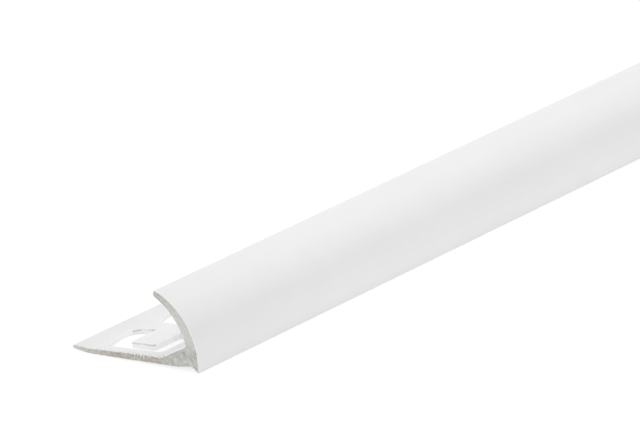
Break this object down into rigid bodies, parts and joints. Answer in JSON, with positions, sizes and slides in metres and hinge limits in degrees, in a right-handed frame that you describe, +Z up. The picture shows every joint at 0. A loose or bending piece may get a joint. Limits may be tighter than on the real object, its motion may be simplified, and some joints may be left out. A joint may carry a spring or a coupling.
{
  "type": "outside corner tile trim",
  "caption": "Quarter-round outside corner trim for wall tile: a white PVC extrusion with a rounded face over a flat, perforated leg that beds under the tile's edge.",
  "frame": {"origin": "on the floor, under the middle of the bar's box as it rests on its lip and on the leg's heel", "axes": "+Y along the bar, away from the sawn end that the picture shows; +X the way the foot of the round face looks, so the leg points to -X; +Z up"},
  "size_m": [0.0224, 2.5, 0.0118],
  "materials": {
    "white_pvc": "smooth satin-gloss extruded skin, sawn ends rough and matt"
  },
  "bodies": {
    "root": {"corner_trim": "white_pvc"}
  },
  "joints": []
}
